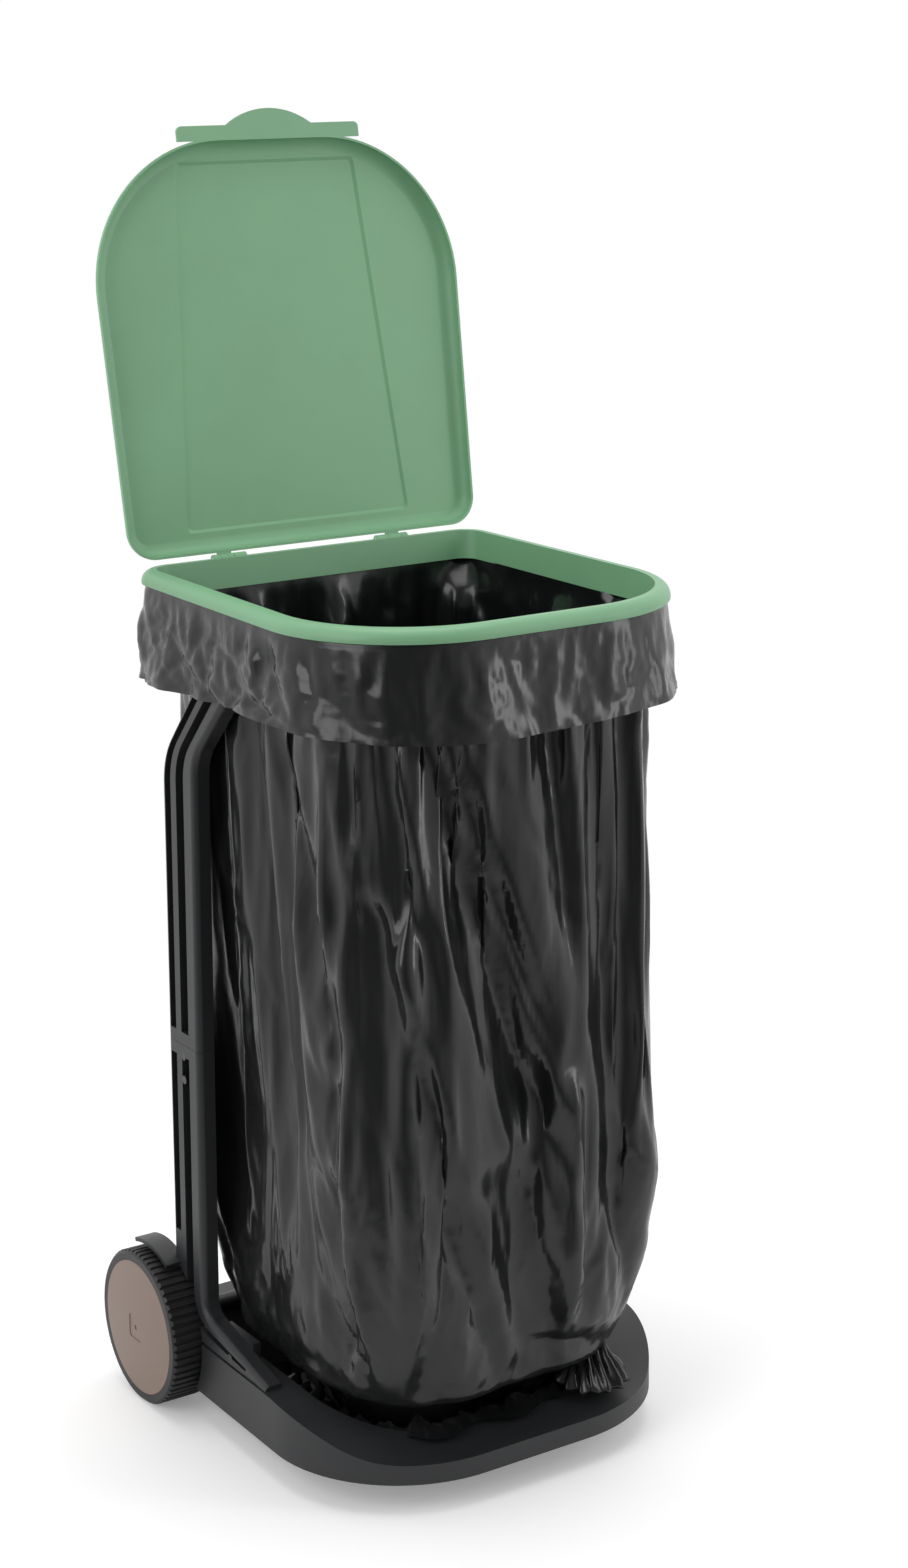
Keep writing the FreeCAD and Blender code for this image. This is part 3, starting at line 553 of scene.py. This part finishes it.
def film_body(sizes):
    """The hanging bag from the clamp down to its closed bottom, before it is draped."""
    columns = sizes.columns
    top = BODY_LEVELS[0][6]
    low = BODY_LEVELS[-1][6]
    table = []
    for row in range(sizes.rows + 1):
        height = top + (low - top) * row / sizes.rows
        points = plan_points(body_spec(height), columns)
        ring = []
        for column, (spot, out) in enumerate(points):
            spot = Vector((spot.x, spot.y, height))
            knead = smoothstep(640.0, 740.0, height) + smoothstep(300.0, 150.0, height)
            panels = facets(spot, 105.0, 0.42) * 13.0 + facets(spot, 26.0) * 2.4 * knead
            below_clamp = smoothstep(780.0, 750.0, height)
            push = fold_height(column / columns, height, sizes)
            push += crumple(spot, height, sizes) * below_clamp
            push += panels * below_clamp
            spot += Vector((out.x, out.y, 0)) * push
            clear_of_posts(spot)
            ring.append(spot)
        table.append(ring)
    middle = Vector((0.0, 10.0, low))
    for share in POLE_SHARES:
        table.append([middle + (spot - middle) * share for spot in table[sizes.rows]])
    return wrap_grid("bag_film_body", table)


def film_collar(sizes):
    """The turned-down collar: from the clamp over the frame and out to its wavy hem."""
    columns = sizes.columns
    stations = [(FRAME_INNER, CLAMP_LOW), (FRAME_INNER, FRAME_TOP),
                (FRAME_OUTER, FRAME_TOP), (FRAME_OUTER, FRAME_SHOULDER)]
    for step in range(1, COLLAR_STEPS + 1):
        run = step / COLLAR_STEPS
        stations.append((FRAME_OUTER - (FRAME_OUTER + HEM_OUT) * run ** 0.8,
                         FRAME_SHOULDER + (HEM_Z - FRAME_SHOULDER) * run))
    points = plan_points(RING_PLAN, columns)
    table = []
    for inset, height in stations:
        loose = smoothstep(FRAME_SHOULDER, 770.0, height)
        ring = []
        for column, (spot, out) in enumerate(points):
            share = column / columns
            push = -inset
            wave = sum(deep * math.sin(2 * math.pi * waves * share + phase + 0.03 * (800 - height))
                       for waves, deep, phase in COLLAR_WAVES)
            here = Vector((spot.x, spot.y, height))
            rough = 0.55 + 0.9 * smoothstep(0.62, 0.70, share) * smoothstep(0.90, 0.84, share)
            push += (wave + (facets(here, 62.0) * 9.0 + facets(here, 21.0) * 2.2) * rough) * loose
            lift = 3.0 * math.sin(2 * math.pi * 3 * share + 0.9) * smoothstep(760.0, HEM_Z, height)
            ring.append(Vector((spot.x + out.x * push, spot.y + out.y * push, height + lift)))
        table.append(ring)
    return wrap_grid("bag_film_collar", table)


def film_scrap():
    """The loose end of the film, crumpled along the inner wall of the tray."""
    places = 400
    work = bmesh.new()
    bmesh.ops.create_grid(work, x_segments=150, y_segments=16, size=0.5)
    for vertex in work.verts:
        share = 0.45 + 0.32 * (vertex.co.x + 0.5)
        run = vertex.co.y + 0.5
        edge = 4.0 * math.sin(31.0 * share * math.pi) + 3.0 * math.sin(83.0 * share + 1.0)
        inset = 34.0 + 40.0 * run + edge * (1 - run)
        spot, out = plan_points(inset_plan(TRAY_PLAN, inset), places)[int(share * places)]
        height = TRAY_TOP - TRAY_SLOPE * max(0.0, inset - TRAY_SLOPE_INSET)
        here = Vector((spot.x, spot.y, height))
        crumples = 5.0 + 22.0 * max(0.0, facets(here, 26.0) + 0.3) + 8.0 * max(0.0, facets(here, 11.0) + 0.2)
        lift = 1.5 + crumples * smoothstep(0.0, 0.35, run)
        vertex.co = (here + Vector((-out.x * 0.75, -out.y * 0.75, 0.65)) * lift) * MM
    return film_object("bag_film_scrap", work)


def film_knot():
    """The gathered corner at the lower right, drawn together and hanging down into the tray."""
    top = Vector((98.0, -102.0, 150.0))
    low = Vector((92.0, -134.0, 59.0))
    work = bmesh.new()
    bmesh.ops.create_cone(work, cap_ends=True, segments=96, radius1=0.5, radius2=0.5, depth=1.0)
    upright = [edge for edge in work.edges if abs(edge.verts[0].co.z - edge.verts[1].co.z) > 0.5]
    bmesh.ops.subdivide_edges(work, edges=upright, cuts=30, use_grid_fill=True)
    for vertex in work.verts:
        run = 0.5 - vertex.co.z
        angle = math.atan2(vertex.co.y, vertex.co.x)
        width = 16.0 * (1 - run) ** 1.3 + 10.0 + 15.0 * smoothstep(0.60, 1.0, run)
        pleat = 1 + 0.28 * abs(math.sin(5.5 * angle + 2.0 * run)) + 0.16 * math.sin(13 * angle - 3.0 * run)
        out = Vector((math.cos(angle), math.sin(angle), 0))
        here = top.lerp(low, run) + out * width * pleat
        here += out * facets(here, 16.0) * 4.0
        vertex.co = here * MM
    return film_object("bag_film_knot", work)


def drape(piece, held, frames, stretch, pressure, walls):
    """Lets the film hang by itself: a short cloth run, kept in the mesh."""
    scene = bpy.context.scene
    group = piece.vertex_groups.new(name="held")
    for vertex in piece.data.vertices:
        weight = held(vertex.co / MM)
        if weight > 0:
            group.add([vertex.index], weight, "REPLACE")
    for wall in walls:
        wall.modifiers.new("wall", "COLLISION")
        wall.collision.thickness_outer = 0.001
        wall.collision.cloth_friction = 5.0
    cloth = piece.modifiers.new("film", "CLOTH")
    run = cloth.settings
    run.quality = 5
    run.mass = 0.03
    run.tension_stiffness = 25.0
    run.compression_stiffness = 25.0
    run.shear_stiffness = 12.0
    run.bending_stiffness = 0.25
    run.air_damping = 1.5
    run.vertex_group_mass = "held"
    run.shrink_min = -stretch
    if pressure:
        run.use_pressure = True
        run.uniform_pressure_force = pressure
    cloth.collision_settings.distance_min = 0.001
    cloth.collision_settings.use_self_collision = False
    cloth.point_cache.frame_start = 1
    cloth.point_cache.frame_end = frames
    for frame_number in range(1, frames + 1):
        scene.frame_set(frame_number)
    graph = bpy.context.evaluated_depsgraph_get()
    settled = bpy.data.meshes.new_from_object(piece.evaluated_get(graph))
    piece.modifiers.remove(cloth)
    piece.data = settled
    piece.vertex_groups.clear()
    scene.frame_set(1)


def film_walls():
    """Plain stand-ins for the brackets, which the film lies against while it is draped."""
    walls = []
    for side in (-1, 1):
        mesh = bpy.data.meshes.new("wall")
        work = bmesh.new()
        bmesh.ops.create_cube(work, size=1.0)
        bmesh.ops.scale(work, verts=work.verts, vec=(0.017, 0.190, 0.660))
        bmesh.ops.translate(work, verts=work.verts, vec=(side * 0.1825, 0.072, 0.434))
        work.to_mesh(mesh)
        work.free()
        wall = bpy.data.objects.new("wall", mesh)
        bpy.context.scene.collection.objects.link(wall)
        walls.append(wall)
    return walls


class HOLDER_OT_plastics(bpy.types.Operator):
    """Gives every moulded and metal part its finish"""
    bl_idname = "holder.plastics"
    bl_label = "Dress the plastics"

    def execute(self, context):
        colours = context.scene.holder_colours
        dress(GREEN_NODES, plastic("green_plastic", colours.green, 0.42, 1400.0, 0.25))
        dress(BLACK_NODES, plastic("black_plastic", colours.black, 0.40, 1100.0, 0.45))
        dress(WHEEL_NODES, plastic("wheel_plastic", colours.wheel, 0.46, 1100.0, 0.5))
        dress(CAP_NODES, plastic("cap_plastic", colours.cap, 0.40, 1400.0, 0.3))
        dress(STEEL_NODES, metal("plain_steel", (0.55, 0.55, 0.56), 0.32))
        dress(SCREW_NODES, metal("black_screw", (0.09, 0.09, 0.095), 0.38))
        smooth(GREEN_NODES + BLACK_NODES + WHEEL_NODES + CAP_NODES + STEEL_NODES + SCREW_NODES)
        return {"FINISHED"}


class HOLDER_OT_bag(bpy.types.Operator):
    """Hangs the film bag in the frame with its collar turned down"""
    bl_idname = "holder.bag"
    bl_label = "Hang the bag"

    def execute(self, context):
        sizes = context.scene.film_sizes
        noise.seed_set(FILM_SEED)
        film = film_material("bag_film", context.scene.holder_colours.film)
        body = film_body(sizes)
        collar = film_collar(sizes)
        walls = film_walls()
        drape(body, body_hold, sizes.frames, sizes.slack, sizes.pressure, walls)
        drape(collar, collar_hold, sizes.frames, sizes.slack * 0.5, 0.0, [])
        crease(body, sizes)
        for wall in walls:
            bpy.data.objects.remove(wall)
        for piece in (body, collar, film_scrap(), film_knot()):
            piece.data.materials.append(film)
            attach(piece, "stand")
            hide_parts("bin_bag")
        return {"FINISHED"}


def body_hold(spot):
    """How firmly the bag is held: fully in the clamp and where it lies in the tray."""
    return max(smoothstep(768.0, 780.0, spot.z), 0.9 * smoothstep(84.0, 50.0, spot.z))


def collar_hold(spot):
    """The collar is held where it passes under the ring, and a little along its folded hem."""
    return max(smoothstep(790.0, 796.0, spot.z), 0.25 * smoothstep(730.0, 718.0, spot.z))


# The floor: how bright it looks by itself, and where its fading starts and ends, in metres
FLOOR_GLOW = 0.22
FLOOR_FULL = 0.35
FLOOR_GONE = 1.0


class HOLDER_OT_studio(bpy.types.Operator):
    """Sets the plain floor, the soft lights and the camera"""
    bl_idname = "holder.studio"
    bl_label = "Set the studio"

    def execute(self, context):
        studio = context.scene.studio_sizes
        make_floor()
        make_lights(studio)
        make_camera(context)
        return {"FINISHED"}


def make_floor():
    """A pale floor that keeps the shadow near the holder and fades into the white further out."""
    mesh = bpy.data.meshes.new("floor")
    work = bmesh.new()
    bmesh.ops.create_circle(work, cap_ends=True, segments=96, radius=6.0)
    work.to_mesh(mesh)
    work.free()
    floor = bpy.data.objects.new("floor", mesh)
    bpy.context.scene.collection.objects.link(floor)
    material = bpy.data.materials.new("studio_floor")
    material.use_nodes = True
    tree = material.node_tree
    surface = tree.nodes["Principled BSDF"]
    surface.inputs["Base Color"].default_value = (0.95, 0.95, 0.95, 1)
    surface.inputs["Roughness"].default_value = 0.9
    surface.inputs["Specular IOR Level"].default_value = 0.0
    clear = add(tree, "ShaderNodeBsdfTransparent")
    mix = add(tree, "ShaderNodeMixShader")
    place = place_node(tree)
    distance = add(tree, "ShaderNodeVectorMath", operation="LENGTH")
    tree.links.new(place, distance.inputs[0])
    fade = add(tree, "ShaderNodeMapRange", interpolation_type="SMOOTHSTEP")
    fade.inputs["From Min"].default_value = FLOOR_FULL
    fade.inputs["From Max"].default_value = FLOOR_GONE
    tree.links.new(distance.outputs["Value"], fade.inputs["Value"])
    tree.links.new(fade.outputs["Result"], mix.inputs["Fac"])
    glow = add(tree, "ShaderNodeEmission")
    glow.inputs["Color"].default_value = (1, 1, 1, 1)
    seen = add(tree, "ShaderNodeLightPath")
    tree.links.new(math_node(tree, "MULTIPLY", seen.outputs["Is Camera Ray"], FLOOR_GLOW),
                   glow.inputs["Strength"])
    both = add(tree, "ShaderNodeAddShader")
    tree.links.new(surface.outputs["BSDF"], both.inputs[0])
    tree.links.new(glow.outputs["Emission"], both.inputs[1])
    tree.links.new(both.outputs["Shader"], mix.inputs[1])
    tree.links.new(clear.outputs["BSDF"], mix.inputs[2])
    output = tree.nodes["Material Output"]
    tree.links.new(mix.outputs["Shader"], output.inputs["Surface"])
    mesh.materials.append(material)


def area_light(name, spot, aim, width, height, power):
    """A large soft light at a spot, aimed at a point."""
    data = bpy.data.lights.new(name, "AREA")
    data.shape = "RECTANGLE"
    data.size = width
    data.size_y = height
    data.energy = power
    lamp = bpy.data.objects.new(name, data)
    lamp.location = spot
    lamp.rotation_mode = "QUATERNION"
    lamp.rotation_quaternion = (Vector(aim) - Vector(spot)).to_track_quat("-Z", "Y")
    bpy.context.scene.collection.objects.link(lamp)


def make_lights(studio):
    """Three soft lights, and a room that the glossy film shows while the camera sees plain white."""
    area_light("key_light", (-2.6, -0.6, 1.9), (0, 0, 0.6), 1.5, 2.4, studio.key)
    area_light("side_light", (2.2, -2.2, 1.4), (0, 0, 0.5), 0.7, 2.6, studio.fill)
    area_light("top_light", (0.1, 0.2, 3.4), (0, 0, 0.0), 2.2, 2.2, studio.top)
    world = bpy.context.scene.world or bpy.data.worlds.new("studio_room")
    bpy.context.scene.world = world
    world.use_nodes = True
    tree = world.node_tree
    tree.nodes.clear()
    seen = add(tree, "ShaderNodeBackground")
    seen.inputs["Color"].default_value = (1, 1, 1, 1)
    seen.inputs["Strength"].default_value = 1.0
    room = add(tree, "ShaderNodeBackground")
    room.inputs["Color"].default_value = (1, 1, 1, 1)
    tree.links.new(room_strength(tree, studio), room.inputs["Strength"])
    path = add(tree, "ShaderNodeLightPath")
    mix = add(tree, "ShaderNodeMixShader")
    output = add(tree, "ShaderNodeOutputWorld")
    tree.links.new(path.outputs["Is Camera Ray"], mix.inputs["Fac"])
    tree.links.new(room.outputs["Background"], mix.inputs[1])
    tree.links.new(seen.outputs["Background"], mix.inputs[2])
    tree.links.new(mix.outputs["Shader"], output.inputs["Surface"])


def room_strength(tree, studio):
    """White walls to the camera's left and right, a paler back, and a dark room behind the camera."""
    way = add(tree, "ShaderNodeTexCoord").outputs["Generated"]
    azimuth = math.radians(CAMERA_AZIMUTH)
    across = add(tree, "ShaderNodeVectorMath", operation="DOT_PRODUCT")
    across.inputs[1].default_value = (math.cos(azimuth), math.sin(azimuth), 0)
    tree.links.new(way, across.inputs[0])
    away = add(tree, "ShaderNodeVectorMath", operation="DOT_PRODUCT")
    away.inputs[1].default_value = (-math.sin(azimuth), math.cos(azimuth), 0.35)
    tree.links.new(way, away.inputs[0])
    sides = math_node(tree, "POWER", math_node(tree, "ABSOLUTE", across.outputs["Value"], 0), 2.0)
    back = math_node(tree, "MAXIMUM", away.outputs["Value"], 0.0)
    share = math_node(tree, "MINIMUM", math_node(tree, "ADD", sides, back), 1.0)
    paler = math_node(tree, "MULTIPLY", share, studio.bright - studio.dark)
    return math_node(tree, "ADD", paler, studio.dark)


# The camera, worked out from the photograph: its frame, focal length and centre in pixels, its place in
# metres and its turn in degrees
FRAME_WIDE = 908
FRAME_HIGH = 1568
FOCAL_PIXELS = 2984.1
CENTRE_X = 574.7
CENTRE_Y = 601.1
CAMERA_SPOT = (-1.4031, -2.2530, 1.3256)
CAMERA_AZIMUTH = -34.9
CAMERA_ELEVATION = 11.4
CAMERA_ROLL = -0.2


def make_camera(context):
    """The photograph's camera, with its shift."""
    data = bpy.data.cameras.new("camera")
    data.sensor_width = 36.0
    data.lens = FOCAL_PIXELS / FRAME_HIGH * data.sensor_width
    data.shift_x = (FRAME_WIDE / 2 - CENTRE_X) / FRAME_HIGH
    data.shift_y = (CENTRE_Y - FRAME_HIGH / 2) / FRAME_HIGH
    camera = bpy.data.objects.new("camera", data)
    azimuth = math.radians(CAMERA_AZIMUTH)
    elevation = math.radians(CAMERA_ELEVATION)
    back = Vector((math.sin(azimuth) * math.cos(elevation), -math.cos(azimuth) * math.cos(elevation),
                   math.sin(elevation)))
    turn = (-back).to_track_quat("-Z", "Y").to_matrix()
    roll = Matrix.Rotation(math.radians(CAMERA_ROLL), 3, "Z")
    camera.matrix_world = Matrix.Translation(CAMERA_SPOT) @ (turn @ roll).to_4x4()
    bpy.context.scene.collection.objects.link(camera)
    context.scene.camera = camera
    context.scene.view_settings.view_transform = "Standard"


class HOLDER_PT_panel(bpy.types.Panel):
    """Lists the sizes, the colours and the steps in the sidebar"""
    bl_label = "Bin Bag Holder"
    bl_idname = "HOLDER_PT_panel"
    bl_space_type = "VIEW_3D"
    bl_region_type = "UI"
    bl_category = "Bin Bag Holder"

    def draw(self, context):
        layout = self.layout
        scene = context.scene
        for group in (scene.holder_colours, scene.film_sizes, scene.studio_sizes):
            box = layout.box()
            for key in group.bl_rna.properties.keys():
                if key not in ("rna_type", "name"):
                    box.prop(group, key)
        layout.operator("holder.plastics")
        layout.operator("holder.bag")
        layout.operator("holder.studio")


CLASSES = (HolderColours, FilmSizes, StudioSizes, HOLDER_OT_plastics, HOLDER_OT_bag, HOLDER_OT_studio,
           HOLDER_PT_panel)


def register():
    for item in CLASSES:
        bpy.utils.register_class(item)
    bpy.types.Scene.holder_colours = bpy.props.PointerProperty(type=HolderColours)
    bpy.types.Scene.film_sizes = bpy.props.PointerProperty(type=FilmSizes)
    bpy.types.Scene.studio_sizes = bpy.props.PointerProperty(type=StudioSizes)


def unregister():
    del bpy.types.Scene.studio_sizes
    del bpy.types.Scene.film_sizes
    del bpy.types.Scene.holder_colours
    for item in reversed(CLASSES):
        bpy.utils.unregister_class(item)


def main():
    register()
    bpy.ops.holder.plastics()
    bpy.ops.holder.bag()
    bpy.ops.holder.studio()


if __name__ == "__main__":
    main()
